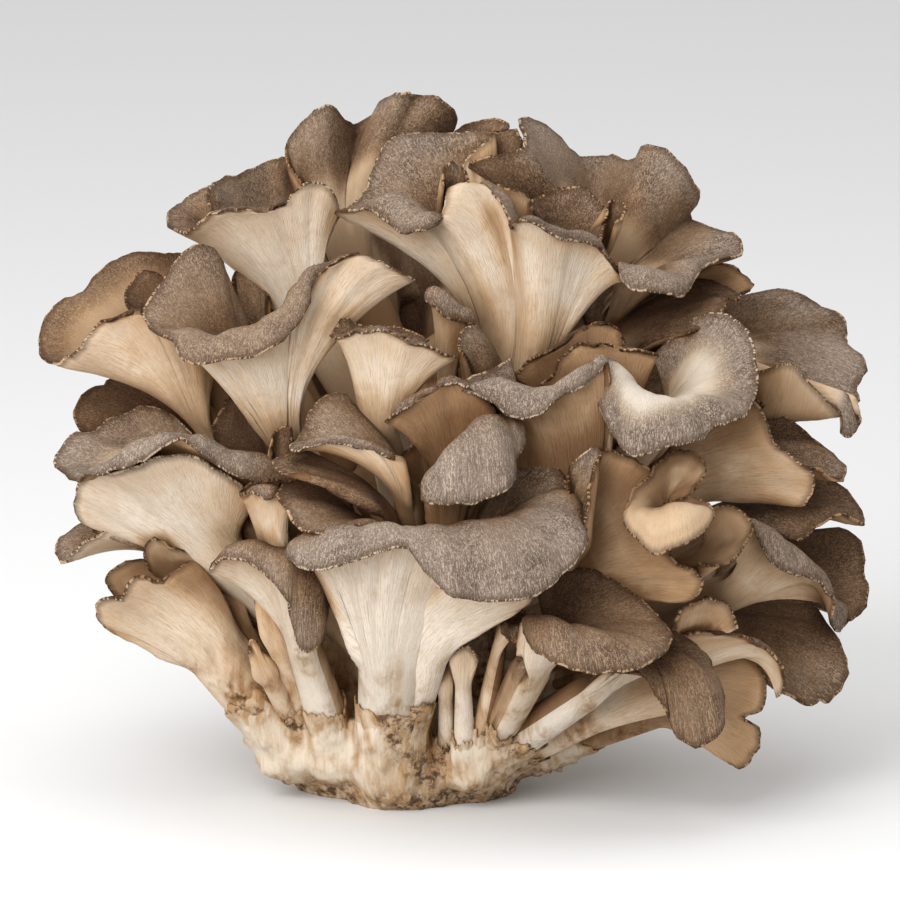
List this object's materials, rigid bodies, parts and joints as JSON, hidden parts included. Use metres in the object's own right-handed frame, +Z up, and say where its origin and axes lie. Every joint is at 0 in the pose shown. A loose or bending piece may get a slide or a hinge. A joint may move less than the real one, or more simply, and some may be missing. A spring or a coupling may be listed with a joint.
{
  "type": "maitake mushroom",
  "caption": "Whole head of maitake: a dense rosette of wavy grey-brown fronds with pale ribbed undersides, branching from one pale base cut flat so that it stands.",
  "frame": {"origin": "middle of the flat cut face under the base, which is what the head stands on", "axes": "+Z up from the cut face; -Y towards the side with the broad furry cap, its front; +X to the right seen from that front"},
  "size_m": [0.165, 0.1313, 0.1346],
  "materials": {
    "base_flesh": "matte",
    "frond_flesh": "matte"
  },
  "bodies": {
    "root": {"back_crown_a": "frond_flesh", "back_crown_b": "frond_flesh", "back_low_a": "frond_flesh", "back_low_b": "frond_flesh", "back_low_c": "frond_flesh", "back_low_d": "frond_flesh", "back_low_e": "frond_flesh", "back_middle_a": "frond_flesh", "back_middle_b": "frond_flesh", "back_middle_c": "frond_flesh", "back_middle_d": "frond_flesh", "back_middle_e": "frond_flesh", "back_upper_a": "frond_flesh", "back_upper_b": "frond_flesh", "back_upper_c": "frond_flesh", "back_upper_d": "frond_flesh", "centre_long_lip": "frond_flesh", "centre_small_cap": "frond_flesh", "centre_small_funnel": "frond_flesh", "centre_tongue": "frond_flesh", "centre_wing": "frond_flesh", "crown_centre_funnel": "frond_flesh", "crown_curl": "frond_flesh", "crown_inner_fronds": "frond_flesh", "crown_left_funnel": "frond_flesh", "crown_right_sheet": "frond_flesh", "crown_tall_frond": "frond_flesh", "cut_base": "base_flesh", "front_big_cap": "frond_flesh", "front_small_stems": "frond_flesh", "left_big_funnel": "frond_flesh", "left_centre_oval": "frond_flesh", "left_centre_pale_lobe": "frond_flesh", "left_centre_triangle": "frond_flesh", "left_dark_fronds": "frond_flesh", "left_drooping_cap": "frond_flesh", "left_far_funnel": "frond_flesh", "left_gap_leaf": "frond_flesh", "left_low_funnel": "frond_flesh", "left_low_stems": "frond_flesh", "left_pale_fan": "frond_flesh", "left_wave_frond": "frond_flesh", "right_arched_lip": "frond_flesh", "right_centre_fan": "frond_flesh", "right_centre_rims": "frond_flesh", "right_curled_cup": "frond_flesh", "right_dark_cup": "frond_flesh", "right_dark_fronds": "frond_flesh", "right_drooping_cap": "frond_flesh", "right_fan": "frond_flesh", "right_hooded_frond": "frond_flesh", "right_inner_frond": "frond_flesh", "right_low_dark_frond": "frond_flesh", "right_low_lobes": "frond_flesh", "right_low_stem": "frond_flesh", "right_pale_fan": "frond_flesh", "right_shoulder_fronds": "frond_flesh", "right_spoon": "frond_flesh"}
  },
  "joints": []
}
